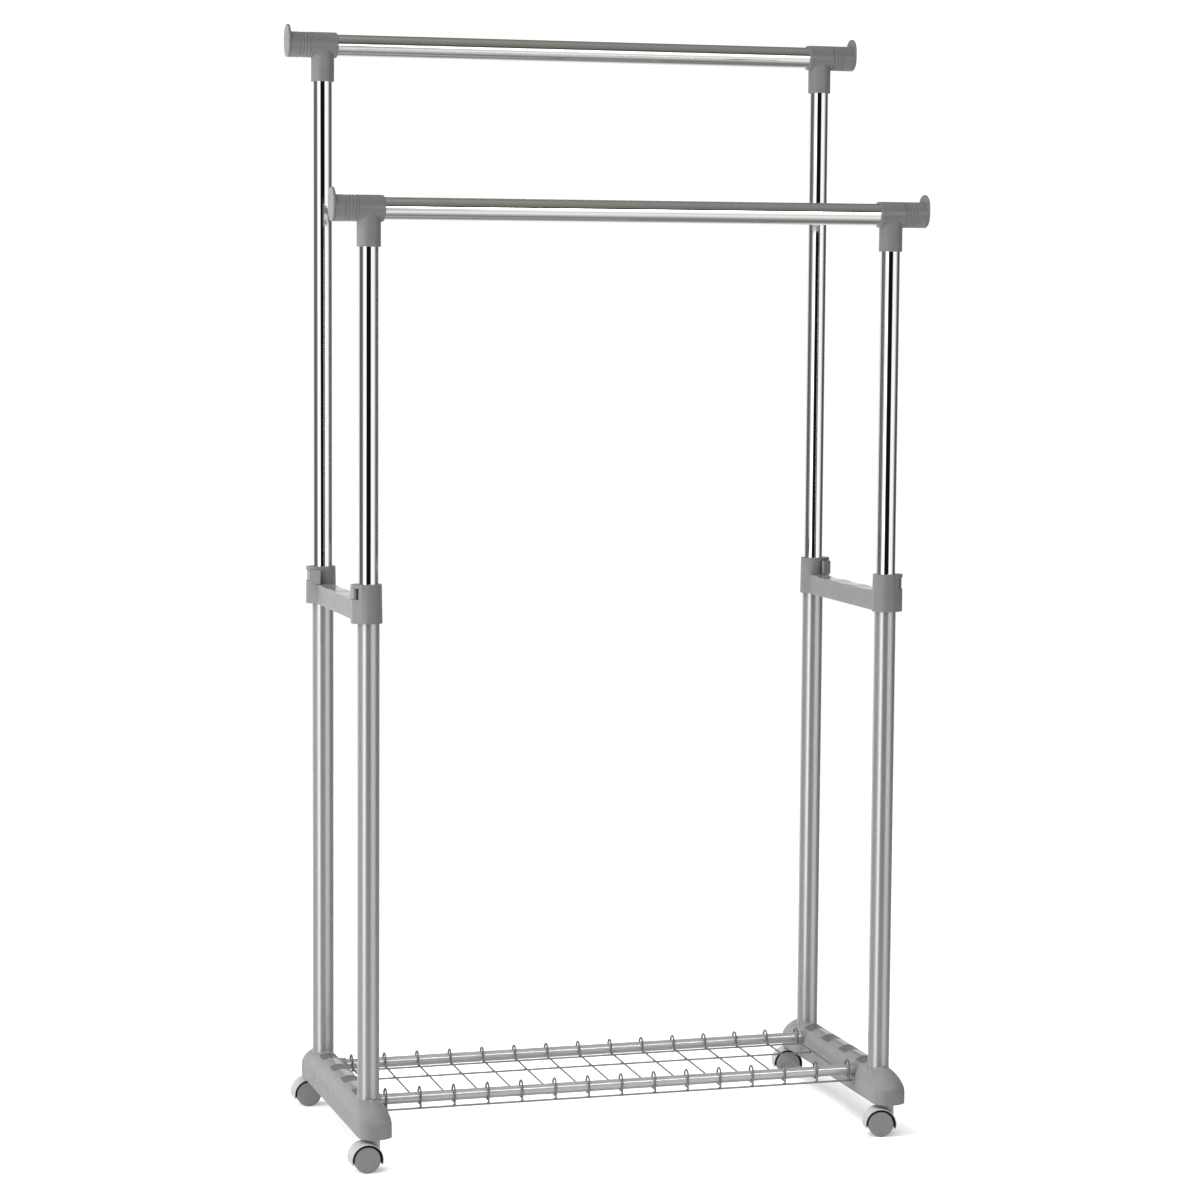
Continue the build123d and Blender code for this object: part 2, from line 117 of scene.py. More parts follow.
class RackFinishes(bpy.types.PropertyGroup):
    """Colours of the finishes."""

    moulding: colour("Moulding", "Grey moulded plastic", (0.18, 0.18, 0.183))
    hood: colour("Hood", "Light grey castor hoods", (0.345, 0.345, 0.347))
    wheel: colour("Wheel", "Dark grey castor wheels", (0.19, 0.19, 0.193))
    silver: colour("Silver paint", "Satin silver paint of the lower tubes", (0.48, 0.48, 0.473))
    chrome: colour("Chrome", "Bright plate of the upper tubes and rails", (0.84, 0.84, 0.83))
    wire: colour("Wire", "Grey lacquered wire", (0.23, 0.23, 0.229))
    steel: colour("Steel", "Drawn steel of pins and axles", (0.55, 0.55, 0.55))
    guide: colour("Guide", "Black plastic of the mast guides", (0.03, 0.03, 0.03))


class RackStage(bpy.types.PropertyGroup):
    """Camera and light of the studio."""

    azimuth: camera_angle("Azimuth", "Camera direction about Z", -16.654)
    elevation: camera_angle("Elevation", "Camera direction above the floor", 5.4313)
    roll: camera_angle("Roll", "Camera roll", 0.4035)
    place: FloatVectorProperty(
        name="Place", description="Camera position", default=(-1.2676, -4.2282, 1.1112), size=3, subtype="TRANSLATION"
    )
    lens: FloatProperty(name="Lens", description="Focal length in millimetres", default=101.72)
    floor_radius: length("Floor radius", "Radius of the pale floor", 3.2)
    key_power: power("Key power", "Power of the panel on the left in watts", 42.0)
    strip_power: power("Strip power", "Power of the strip seen in the shelf in watts", 18.0)
    top_power: power("Top power", "Strength of the overhead light", 2.3)
    back_power: power("Back power", "Strength of the light from behind", 0.7)
    fill_power: power("Fill power", "Power of the light over the shelf in watts", 26.0)


# ---- surfaces


def sheet(points, closed_u=False, closed_v=False):
    """A grid of points (rows u, columns v, xyz) as vertices and quads; closed directions wrap round."""
    rows, columns = points.shape[:2]
    index = np.arange(rows * columns).reshape(rows, columns)
    if closed_u:
        index = np.vstack([index, index[:1]])
    if closed_v:
        index = np.hstack([index, index[:, :1]])
    quads = np.stack([index[:-1, :-1], index[1:, :-1], index[1:, 1:], index[:-1, 1:]], axis=-1)
    return points.reshape(-1, 3), quads.reshape(-1, 4)


def lay_piece(name, sheets, node, finish, marks=None, crease=40.0):
    """Joins sheets into one closed mesh that stands for a CAD node and moves with its body.
    Coinciding rows and poles are merged, and the faces turned outwards. Edges that turn by more than
    the crease angle stay crisp. marks holds a value for each point, for finishes that follow the shape."""
    shift = np.cumsum([0] + [len(points) for points, _ in sheets])
    vertices = np.vstack([points for points, _ in sheets])
    faces = np.vstack([quads + start for (_, quads), start in zip(sheets, shift)])
    mesh = bpy.data.meshes.new(name)
    mesh.vertices.add(len(vertices))
    mesh.vertices.foreach_set("co", vertices.astype(np.float32).ravel())
    mesh.loops.add(faces.size)
    mesh.loops.foreach_set("vertex_index", faces.astype(np.int32).ravel())
    mesh.polygons.add(len(faces))
    mesh.polygons.foreach_set("loop_start", np.arange(0, faces.size, 4, dtype=np.int32))
    mesh.update(calc_edges=True)
    for label, values in (marks or {}).items():
        layer = mesh.attributes.new(label, "FLOAT", "POINT")
        layer.data.foreach_set("value", np.asarray(values, np.float32).ravel())
    work = bmesh.new()
    work.from_mesh(mesh)
    bmesh.ops.remove_doubles(work, verts=work.verts, dist=1e-6)
    bmesh.ops.dissolve_degenerate(work, edges=work.edges, dist=1e-7)
    bmesh.ops.recalc_face_normals(work, faces=work.faces)
    work.to_mesh(mesh)
    work.free()
    mesh.polygons.foreach_set("use_smooth", np.ones(len(mesh.polygons), dtype=bool))
    mesh.set_sharp_from_angle(angle=math.radians(crease))
    mesh.update()
    piece = bpy.data.objects.new(name, mesh)
    bpy.context.scene.collection.objects.link(piece)
    mesh.materials.append(finish)
    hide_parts(node)
    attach(piece, BODY_OF[node])
    return piece


def copies(surface, spots):
    """The surface once at each spot."""
    points, quads = surface
    faces = quads[None] + np.arange(len(spots))[:, None, None] * len(points)
    return (points[None] + spots[:, None]).reshape(-1, 3), faces.reshape(-1, 4)


def full_turn(count):
    """Angles evenly round a circle."""
    return np.linspace(0.0, 2.0 * math.pi, count, endpoint=False)


def arc(centre, radius, start, end, count):
    """Points on a circular arc in a plane, from one angle to the other."""
    turn = np.linspace(start, end, count)
    return np.stack([centre[0] + radius * np.cos(turn), centre[1] + radius * np.sin(turn)], axis=-1)


def turned(profile, origin, axis, sides, closed=False):
    """Surface of revolution: each profile point (radius, station) goes round the axis through origin.
    Position = origin + station * axis + radius * (cos t * p + sin t * q), with p and q across the axis."""
    axis = np.asarray(axis, float) / np.linalg.norm(axis)
    helper = np.array([0.0, 0.0, 1.0]) if abs(axis[2]) < 0.9 else np.array([1.0, 0.0, 0.0])
    p = np.cross(helper, axis)
    p /= np.linalg.norm(p)
    q = np.cross(axis, p)
    turn = full_turn(sides)
    ring = np.cos(turn)[:, None] * p + np.sin(turn)[:, None] * q
    points = np.asarray(origin, float) + profile[:, 1, None, None] * axis + profile[:, 0, None, None] * ring[None]
    return sheet(points, closed_u=closed, closed_v=True)


def tube_profile(radius, wall, low, high):
    """Section of a tube wall as one closed loop: outer side, rounded rim, inner side, rounded rim.
    Extra stations near the rims keep the long sides straight in the shading."""
    half = wall / 2
    near = np.array([half, 3 * half, 8 * half])
    stations = np.concatenate([low + near, high - near[::-1]])
    outer = np.stack([np.full_like(stations, radius), stations], axis=-1)
    inner = np.stack([np.full_like(stations, radius - wall), stations[::-1]], axis=-1)
    top = arc((radius - half, high - half), half, 0.0, math.pi, 7)[1:-1]
    foot = arc((radius - half, low + half), half, math.pi, 2 * math.pi, 7)[1:-1]
    return np.vstack([outer, top, inner, foot])


def carried_circle(path, across, radius, sides):
    """A circle carried along a planar path (stations, xyz), square to it, with a round nose at each end.
    Position = path + r * (cos t * across + sin t * side), where side = tangent x across."""
    tangent = np.gradient(path, axis=0)
    tangent /= np.linalg.norm(tangent, axis=1, keepdims=True)
    lean = np.linspace(math.pi / 2, 0.0, 6)[:-1]
    first = path[0] - np.sin(lean)[:, None] * radius * tangent[0]
    last = (path[-1] + np.sin(lean)[:, None] * radius * tangent[-1])[::-1]
    line = np.vstack([first, path, last])
    reach = np.concatenate([np.cos(lean), np.ones(len(path)), np.cos(lean)[::-1]]) * radius
    heading = np.vstack([np.repeat(tangent[:1], len(lean), 0), tangent, np.repeat(tangent[-1:], len(lean), 0)])
    side = np.cross(heading, across)
    turn = full_turn(sides)
    ring = np.cos(turn)[None, :, None] * np.asarray(across, float) + np.sin(turn)[None, :, None] * side[:, None, :]
    return sheet(line[:, None, :] + reach[:, None, None] * ring, closed_v=True)


def rounded_route(corners, radii, step):
    """A route through corner points in a plane with each inner corner turned on an arc.
    An arc starts and ends radius * tan(turn / 2) from its corner; straight runs join the arcs."""
    corners = np.asarray(corners, float)
    runs = []
    for before, corner, after, radius in zip(corners[:-2], corners[1:-1], corners[2:], radii):
        a = (before - corner) / np.linalg.norm(before - corner)
        b = (after - corner) / np.linalg.norm(after - corner)
        half = math.acos(float(np.clip(a @ b, -1.0, 1.0))) / 2
        centre = corner + (a + b) / np.linalg.norm(a + b) * radius / math.sin(half)
        start, end = corner + a * radius / math.tan(half), corner + b * radius / math.tan(half)
        sweep = math.pi - 2 * half
        share = np.linspace(0.0, 1.0, max(7, int(sweep * radius / step)))[:, None]
        u, v = (start - centre) / radius, (end - centre) / radius
        runs.append(centre + radius * (np.sin((1 - share) * sweep) * u + np.sin(share * sweep) * v) / math.sin(sweep))
    route = np.vstack([corners[:1], *runs, corners[-1:]])
    keep = np.concatenate([[True], np.linalg.norm(np.diff(route, axis=0), axis=1) > 1e-6])
    return route[keep]


# ---- finishes


NOISE_RANGE = (0.3, 0.7)  # where most values of a noise lie


def add_node(tree, kind, inputs, **settings):
    """A shader node with its settings made and its inputs set to values or linked to sockets."""
    node = tree.nodes.new(f"ShaderNode{kind}")
    for name, value in settings.items():
        setattr(node, name, value)
    for name, value in inputs.items():
        if isinstance(value, bpy.types.NodeSocket):
            tree.links.new(value, node.inputs[name])
        else:
            node.inputs[name].default_value = value
    return node


def shader_of(material):
    """The surface shader of a material."""
    return next(node for node in material.node_tree.nodes if node.type == "BSDF_PRINCIPLED")


class Finish:
    """Node tree of one finish, read on Object coordinates."""

    def __init__(self, name):
        self.material = bpy.data.materials.new(name)
        self.material.use_nodes = True
        self.tree = self.material.node_tree
        self.shader = shader_of(self.material)
        self.place = add_node(self.tree, "TexCoord", {}).outputs["Object"]

    def noise(self, scale, detail=2.0, roughness=0.5):
        inputs = {"Vector": self.place, "Scale": scale, "Detail": detail, "Roughness": roughness}
        return add_node(self.tree, "TexNoise", inputs).outputs["Fac"]

    def cells(self, scale):
        return add_node(self.tree, "TexVoronoi", {"Vector": self.place, "Scale": scale}).outputs["Distance"]

    def spread(self, value, low, high):
        """A noise carried over to the range from low to high."""
        start, end = NOISE_RANGE
        inputs = {"Value": value, "From Min": start, "From Max": end, "To Min": low, "To Max": high}
        return add_node(self.tree, "MapRange", inputs).outputs["Result"]

    def tone(self, value, colour, darker, lighter):
        """Colour that runs from a darker to a lighter shade of one base over the range of a noise."""
        node = add_node(self.tree, "ValToRGB", {"Fac": value})
        first, last = node.color_ramp.elements
        first.position, last.position = NOISE_RANGE
        first.color = (*(c * darker for c in colour), 1.0)
        last.color = (*(min(1.0, c * lighter) for c in colour), 1.0)
        return node.outputs["Color"]

    def blend(self, a, b, share):
        """a plus a share of b."""
        return add_node(self.tree, "Math", {0: b, 1: share, 2: a}, operation="MULTIPLY_ADD").outputs["Value"]

    def bump(self, height, strength, distance):
        node = add_node(self.tree, "Bump", {"Height": height, "Strength": strength, "Distance": distance})
        self.feed(node.outputs["Normal"], "Normal")

    def feed(self, value, socket):
        """Links a value to a socket of the shader, or sets a constant on it."""
        if isinstance(value, bpy.types.NodeSocket):
            self.tree.links.new(value, self.shader.inputs[socket])
        else:
            self.shader.inputs[socket].default_value = value


def moulded(name, colour, dull, grain=1500.0, shine=0.32):
    """Moulded plastic: fine eroded grain, slow drift of shade and of gloss."""
    finish = Finish(name)
    drift = finish.noise(28.0, 4.0, 0.6)
    fine = finish.noise(grain, 3.0, 0.65)
    finish.feed(finish.tone(drift, colour, 0.94, 1.06), "Base Color")
    finish.feed(finish.spread(finish.noise(90.0, 3.0), dull - 0.05, dull + 0.06), "Roughness")
    finish.bump(finish.blend(fine, finish.cells(grain * 0.6), 0.5), 0.16, 0.00012)
    finish.feed(shine, "Specular IOR Level")
    return finish.material


def painted_shade_moulding(name, colour, dull, label, shade):
    """Moulded plastic with painted shade: darker where the mesh carries the mark of that label, standing in for the
    shade of a recess or gap.
    """
    material = moulded(name, colour, dull, shine=0.42)
    tree, plain = material.node_tree, shader_of(material).inputs["Base Color"]
    mark = add_node(tree, "Attribute", {}, attribute_name=label)
    inputs = {"Factor": mark.outputs["Fac"], "A": plain.links[0].from_socket, "B": (shade, shade, shade, 1.0)}
    mix = add_node(tree, "Mix", inputs, data_type="RGBA", blend_type="MULTIPLY")
    tree.links.new(mix.outputs["Result"], plain)
    return material


def polish(material, mask):
    """Brings the roughness down to a gloss where the mask is 1, as on an edge rubbed by hands."""
    rubbed = 0.10
    tree, dull = material.node_tree, shader_of(material).inputs["Roughness"]
    mix = add_node(tree, "Mix", {"Factor": mask, "A": dull.links[0].from_socket, "B": rubbed})
    tree.links.new(mix.outputs["Result"], dull)


def bracket_moulding(colour):
    """Grey moulding with a glossy top along the bar: above the bar's edge height and between the collars."""
    edge_height, between_collars = (0.7066, 0.7072), (0.114, 0.106)
    material = moulded("bracket_moulding", colour, 0.40, shine=0.4)
    tree = material.node_tree
    place = add_node(tree, "TexCoord", {}).outputs["Object"]
    split = add_node(tree, "SeparateXYZ", {"Vector": place})
    depth = add_node(tree, "Math", {0: split.outputs["Y"]}, operation="ABSOLUTE")
    limits = ((split.outputs["Z"], edge_height), (depth.outputs["Value"], between_collars))
    masks = [
        add_node(tree, "MapRange", {"Value": value, "From Min": start, "From Max": end}).outputs["Result"]
        for value, (start, end) in limits
    ]
    both = add_node(tree, "Math", dict(enumerate(masks)), operation="MULTIPLY")
    polish(material, both.outputs["Value"])
    return material


def silver_paint(name, colour, metallic, dull):
    """Satin silver paint: metal flakes under a soft film with slight orange peel."""
    finish = Finish(name)
    flakes = finish.noise(2600.0, 1.0, 0.5)
    finish.feed(finish.tone(flakes, colour, 0.97, 1.03), "Base Color")
    finish.feed(metallic, "Metallic")
    finish.feed(finish.spread(finish.noise(60.0, 3.0), dull - 0.02, dull + 0.03), "Roughness")
    finish.bump(finish.noise(160.0, 1.0), 0.008, 0.0001)
    return finish.material


def chrome_plate(name, colour):
    """Bright plate: near mirror with faint handling haze."""
    finish = Finish(name)
    haze = finish.noise(16.0, 5.0, 0.6)
    finish.feed(finish.tone(haze, colour, 0.97, 1.02), "Base Color")
    finish.feed(1.0, "Metallic")
    finish.feed(finish.spread(haze, 0.045, 0.06), "Roughness")
    return finish.material


def drawn_metal(name, colour, dull, metallic):
    """Drawn and lacquered metal: fine speckle, uneven gloss."""
    finish = Finish(name)
    finish.feed(finish.tone(finish.noise(700.0, 3.0, 0.6), colour, 0.95, 1.05), "Base Color")
    finish.feed(metallic, "Metallic")
    finish.feed(finish.spread(finish.noise(240.0, 2.0), dull - 0.03, dull + 0.03), "Roughness")
    finish.bump(finish.noise(1500.0, 2.0), 0.02, 0.00005)
    return finish.material


MAKERS = {
    "grey_plastic": lambda c: moulded("grey_moulding", c.moulding, 0.40),
    "bracket_plastic": lambda c: bracket_moulding(c.moulding),
    # painted shade: the marked inside of the hood is darkened near black for the shaded gap round the wheels
    "hood_plastic": lambda c: painted_shade_moulding("hood_moulding", c.hood, 0.48, "inside", 0.08),
    "wheel_plastic": lambda c: moulded("wheel_moulding", c.wheel, 0.50, grain=1900.0),
    "guide_plastic": lambda c: moulded("guide_moulding", c.guide, 0.55),
    "silver_paint": lambda c: silver_paint("satin_silver_paint", c.silver, 0.72, 0.23),
    "silver_rail": lambda c: silver_paint("satin_silver_rail", c.silver, 0.60, 0.24),
    "chrome": lambda c: chrome_plate("bright_plate", c.chrome),
    "wire_zinc": lambda c: drawn_metal("lacquered_wire", c.wire, 0.30, 0.75),
    "steel": lambda c: drawn_metal("drawn_steel", c.steel, 0.30, 1.0),
}
FINISHES = {}


def finish_for(name):
    """The finish of that name, mostly a material slot of the record, made once."""
    if name not in FINISHES:
        FINISHES[name] = MAKERS[name](bpy.context.scene.rack_finishes)
    return FINISHES[name]


def dress(node, finish=None):
    """Gives a CAD node the finish of its slot, or one that is named."""
    piece = frame["nodes"][node]
    if not piece.material_slots:
        piece.data.materials.append(None)
    for slot in piece.material_slots:
        slot.material = finish_for(finish or SLOT_OF[node])


# ---- pieces


class RACK_OT_tubes(bpy.types.Operator):
    """Uprights, hanging rails, extension tubes and shelf rails as thin round tubes with rolled rims"""

    bl_idname = "rack.tubes"
    bl_label = "Tubes"

    def execute(self, context):
        sizes = context.scene.rack_sizes
        for node in sorted(BODY_OF):
            if not node.endswith(("_tube", "_rail")):
                continue
            low, high = (np.array(corner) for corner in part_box(node))
            along = int(np.argmax(high - low))
            axis = np.eye(3)[along]
            radius = float(np.min(high - low)) / 2
            middle = (low + high) / 2 * (1 - axis)
            profile = tube_profile(radius, sizes.tube_wall, low[along], high[along])
            surface = turned(profile, middle, axis, sizes.tube_sides, closed=True)
            finish = finish_for("silver_rail" if node.endswith("shelf_rail") else SLOT_OF[node])
            lay_piece(f"{node}_wall", [surface], node, finish)
        for row in ROWS:
            dress(f"{row}_mast_guides")
        return {"FINISHED"}


class WireShape:
    """Small sizes of the wire shelf, in metres."""

    clearance = 0.0002  # between a wire and the rail that it hooks over
    front_rise, rear_rise = 0.0078, 0.0067  # crest of a hook above its rail
    tip_lift = 0.0008  # tip of a hook above the rail's side
    front_bend, rear_bend = 0.0016, 0.004  # where the legs turn into the deck
    step = 0.0006  # along the bends
    bow_slack, tip_slack = 0.00005, 0.00001  # so that neighbouring bends and straight runs never meet
    foot_above, foot_below = 0.0026, 0.0016  # ends of a foot about the front runner's level
    front_gap, rear_gap = 0.0025, 0.004  # from the legs to the outer runners
    inner_runners = (-0.046, 0.038)
    overhang = 0.006  # of the runners past the last cross wires
    weld = 0.0004  # overlap of crossing wires
    bead_radius, bead_height = 0.0023, 0.0016


def cross_wire_route(sizes):
    """Route of a cross wire in the plane across the rails: down from the front hook's tip, over its bow,
    down the leg, along the deck, up the rear leg and over the rear bow, in (y, z)."""
    rail, radius = sizes.shelf_rail_height, sizes.shelf_rail_radius
    stand_off = radius + sizes.wire_radius + WireShape.clearance
    landing = rail + math.sqrt(radius**2 - (sizes.hook_reach - sizes.wire_radius) ** 2) + WireShape.clearance
    hooks = ((-1.0, WireShape.front_rise, stand_off), (1.0, WireShape.rear_rise, sizes.deck_rear_drop))
    ends, bends = [], []
    for row, rise, drop in hooks:
        axis = row * sizes.shelf_rail_offset
        leg, back = axis - stand_off, axis + sizes.hook_reach
        crest = rail + radius + rise - sizes.wire_radius
        bow = min((back - leg) / 2, crest - landing) - WireShape.bow_slack
        tip = min(landing + WireShape.tip_lift, crest - bow - WireShape.tip_slack)
        ends.append([(leg, rail - drop), (leg, crest), (back, crest), (back, tip)])
        bends.append(bow)
    front, rear = ends
    turns = [bends[0], bends[0], WireShape.front_bend, WireShape.rear_bend, bends[1], bends[1]]
    return rounded_route(front[::-1] + rear, turns, WireShape.step)


class RACK_OT_wire_shelf(bpy.types.Operator):
    """Wire shelf: hooked cross wires with feet over runner wires, with a weld bead at each crossing"""

    bl_idname = "rack.wire_shelf"
    bl_label = "Wire shelf"

    def execute(self, context):
        sizes = context.scene.rack_sizes
        radius = sizes.wire_radius
        flat = cross_wire_route(sizes)
        stations = (np.arange(sizes.wire_count) - (sizes.wire_count - 1) / 2) * sizes.wire_pitch
        route = np.stack([np.zeros(len(flat)), flat[:, 0], flat[:, 1]], axis=-1)
        stand_off = sizes.shelf_rail_radius + radius + WireShape.clearance
        front_leg, rear_leg = -sizes.shelf_rail_offset - stand_off, sizes.shelf_rail_offset - stand_off
        bottom = sizes.shelf_rail_height - sizes.foot_drop
        drop = np.linspace(bottom + WireShape.foot_above, bottom - WireShape.foot_below, 6)
        foot = np.stack([np.zeros(6), np.full(6, front_leg), drop], axis=-1)
        spots = stations[:, None] * (1.0, 0.0, 0.0)
        sheets = [
            copies(carried_circle(path, (1.0, 0.0, 0.0), radius, sizes.wire_sides), spots) for path in (route, foot)
        ]
        outer_runners = front_leg + WireShape.front_gap, rear_leg - WireShape.rear_gap
        across = np.array([outer_runners[0], *WireShape.inner_runners, outer_runners[1]])
        slope = (stand_off - sizes.deck_rear_drop) / (rear_leg - front_leg)
        level = sizes.shelf_rail_height - stand_off + (across - front_leg) * slope
        level[0] = bottom
        reach = stations[-1] + WireShape.overhang - radius
        along = np.linspace(-reach, reach, 40)
        for y, z in zip(across, level - 2 * radius + WireShape.weld):
            runner = np.stack([along, np.full_like(along, y), np.full_like(along, z)], axis=-1)
            sheets.append(carried_circle(runner, (0.0, 1.0, 0.0), radius, sizes.wire_sides))
        sheets.append(self.beads(stations, across, level - radius + WireShape.weld / 2))
        lay_piece("wire_shelf_weldment", sheets, "wire_shelf", finish_for(SLOT_OF["wire_shelf"]))
        return {"FINISHED"}

    def beads(self, stations, across, level):
        """Weld beads: ellipsoids (a cos t cos s, a sin t cos s, c sin s) at every crossing."""
        turn = full_turn(10)
        lift = np.linspace(-math.pi / 2, math.pi / 2, 7)[:, None]
        ball = np.stack([
            WireShape.bead_radius * np.cos(turn) * np.cos(lift),
            WireShape.bead_radius * np.sin(turn) * np.cos(lift),
            WireShape.bead_height * np.sin(lift) * np.ones_like(turn),
        ], axis=-1)
        x, y = np.meshgrid(stations, across, indexing="ij")
        spots = np.stack([x, y, np.broadcast_to(level, x.shape)], axis=-1).reshape(-1, 3)
        return copies(sheet(ball, closed_v=True), spots)


def soft_step(value, low, high):
    """0 below low, 1 above high and a smooth cubic between."""
    share = np.clip((value - low) / (high - low), 0.0, 1.0)
    return share * share * (3.0 - 2.0 * share)


class BaseShape:
    """Form of a base moulding about its own middle, as functions of the station y and the place s round
    its arched section. Half-width w(y) follows straight sides that pass into a bowed end; height h(y) is
    level and falls on a quarter ellipse to a low upright lip at each nose."""

    length, half_width, height, crown = 0.381, 0.0215, 0.043, 0.022
    nose, lip, bow, rim = 0.0445, 0.009, 0.0105, 0.0008
    underside, wall = 0.0411, 0.0038
    bow_power = 9.0  # the higher, the crisper the change from the straight side to the bowed end
    pads = (-0.099, -0.033, 0.033, 0.099)
    pad_half_width, pad_half_length, pad_shift = 0.0118, 0.0150, 0.0012
    pad_corner, pad_depth = 0.004, 0.0012
    pad_edge = (-0.0009, 0.0003)  # over which a pad's rim falls
    crown_band = (0.0022, 0.0004)  # below the top, over which the rubbed crown sets in
    socket_band = (0.0027, 0.00045)  # inside and outside a socket's circle, drawn onto it
    socket_foot = 0.00105  # inside the circle, from where the floor lies
    hollow, rib_place, rib_half = 0.0865, 0.0288, 0.0015
    fine_end, fine_step = 0.03, 0.0009  # closer stations at each tip, even ones between
    first_gap, last_gap = 0.001, 0.0005  # between the two kinds of stations
    wall_step = 0.004  # half the share of the width in which the hollow's side rises

    def stations(self):
        """Stations along y: even over the middle, closing up towards both tips as a square."""
        tip = self.length / 2
        end = tip - self.fine_end * np.linspace(0.0, 1.0, 40) ** 2
        start, stop = self.fine_end + self.first_gap - tip, tip - self.fine_end - self.last_gap
        middle = np.arange(start, stop, self.fine_step)
        return np.concatenate([-end, middle, end[::-1]])

    def width(self, y):
        """Half-width: a soft minimum of the straight side and the end's arc."""
        tip = self.length / 2
        sweep = (self.half_width**2 + self.bow**2) / (2 * self.bow)
        ahead = np.clip(np.abs(y) - (tip - sweep), 0.0, sweep)
        bowed = np.sqrt(np.maximum(sweep**2 - ahead**2, 1e-16))
        power = -self.bow_power
        blend = (self.half_width**power + bowed**power) ** (1.0 / power)
        full = (self.half_width**power + sweep**power) ** (1.0 / power)
        return blend * self.half_width / full

    def rise(self, y):
        """Height: level, then a quarter ellipse down to the lip."""
        share = np.clip((np.abs(y) - (self.length / 2 - self.nose)) / self.nose, 0.0, 1.0)
        return self.lip + (self.height - self.lip) * np.sqrt(1.0 - share**2)

    def section(self):
        """Arch of unit half-width and height from the left foot to the right one, with rounded rims."""
        shoulder = 1.0 - self.crown / self.height
        rim_x, rim_z = self.rim / self.half_width, self.rim / self.height
        lean = np.linspace(math.pi / 2, 0.0, 5)
        rim = np.stack([1.0 - rim_x + rim_x * np.cos(lean), rim_z - rim_z * np.sin(lean)], axis=-1)
        side = np.stack([np.ones(12), np.linspace(rim_z, shoulder, 14)[1:-1]], axis=-1)
        turn = np.linspace(0.0, math.pi, 97)
        crown = np.stack([np.cos(turn), shoulder + (1.0 - shoulder) * np.sin(turn)], axis=-1)
        right = np.vstack([rim, side])
        left = right[::-1] * (-1.0, 1.0)
        return np.vstack([right, crown, left])

    def pad_mask(self, x, y):
        """1 on the recessed pads along the crown, 0 elsewhere: distance to a rounded rectangle."""
        mask = np.zeros_like(x)
        for middle in self.pads:
            out_x = np.abs(x - self.pad_shift) - self.pad_half_width + self.pad_corner
            out_y = np.abs(y - middle) - self.pad_half_length + self.pad_corner
            edge = np.hypot(np.maximum(out_x, 0.0), np.maximum(out_y, 0.0)) - self.pad_corner
            mask = np.maximum(mask, 1.0 - soft_step(edge, *self.pad_edge))
        return mask

    def open_socket(self, x, y, z, middle, radius, floor):
        """Opens a tube socket in the grid: points in a band about the socket's circle are drawn onto the
        circle, those of the next band inwards onto the foot of its wall, and the rest lie on its floor."""
        ahead = y - middle
        reach = np.maximum(np.hypot(x, ahead), 1e-9)
        band = (reach > radius - self.socket_band[0]) & (reach < radius + self.socket_band[1])
        draw = np.where(band, radius / reach, 1.0)
        sunk = reach < radius - self.socket_foot
        return x * draw, middle + ahead * draw, np.where(sunk, floor - self.underside, z)

    def shell(self, inward, sockets, radius, floor):
        """Outer surface: x = w(y) X(s), z = underside + h(y) Z(s), pressed in over the pads and opened
        at the tube sockets."""
        y = self.stations()
        form = self.section()
        x = self.width(y)[:, None] * form[:, 0]
        z = self.rise(y)[:, None] * form[:, 1]
        deep = np.broadcast_to(y[:, None], x.shape)
        # the pad mask presses the pads in and also carries their painted shade
        mask = self.pad_mask(inward * x, deep) * (form[:, 1] > 1.0 - self.crown / self.height)
        shoulder = self.height - self.crown
        slope_x, slope_z = x / self.half_width**2, np.maximum(z - shoulder, 0.0) / self.crown**2
        size = np.maximum(np.hypot(slope_x, slope_z), 1e-9)
        press = self.pad_depth * mask
        x, z = x - press * slope_x / size, z - press * slope_z / size
        crown = soft_step(z, *(self.height - drop for drop in self.crown_band)) * (1.0 - mask)
        for middle in sockets:
            x, deep, z = self.open_socket(x, deep, z, middle, radius, floor)
        return np.stack([x, deep, self.underside + z], axis=-1), mask, crown

    def floor(self):
        """Underside: level at the rim, with a ribbed hollow between the shelf rail sockets."""
        y = self.stations()
        inner = self.half_width - self.wall
        step = inner / (self.half_width - self.rim)
        across = np.concatenate([[1.0, step + self.wall_step], np.linspace(step - self.wall_step, 0.0, 16)])
        across = np.concatenate([across, -across[-2::-1]])
        x = (self.width(y) * (1.0 - self.rim / self.half_width))[:, None] * across
        arch = np.sqrt(np.clip(1.0 - (x / inner) ** 2, 0.0, 1.0))
        roof = self.height - self.crown + (self.crown - self.wall) * arch
        open_y = (np.abs(y) < self.hollow) & (np.abs(np.abs(y) - self.rib_place) > self.rib_half)
        deep = roof * open_y[:, None] * (np.abs(across) < step)
        return np.stack([x, np.broadcast_to(y[:, None], x.shape), self.underside + deep], axis=-1)


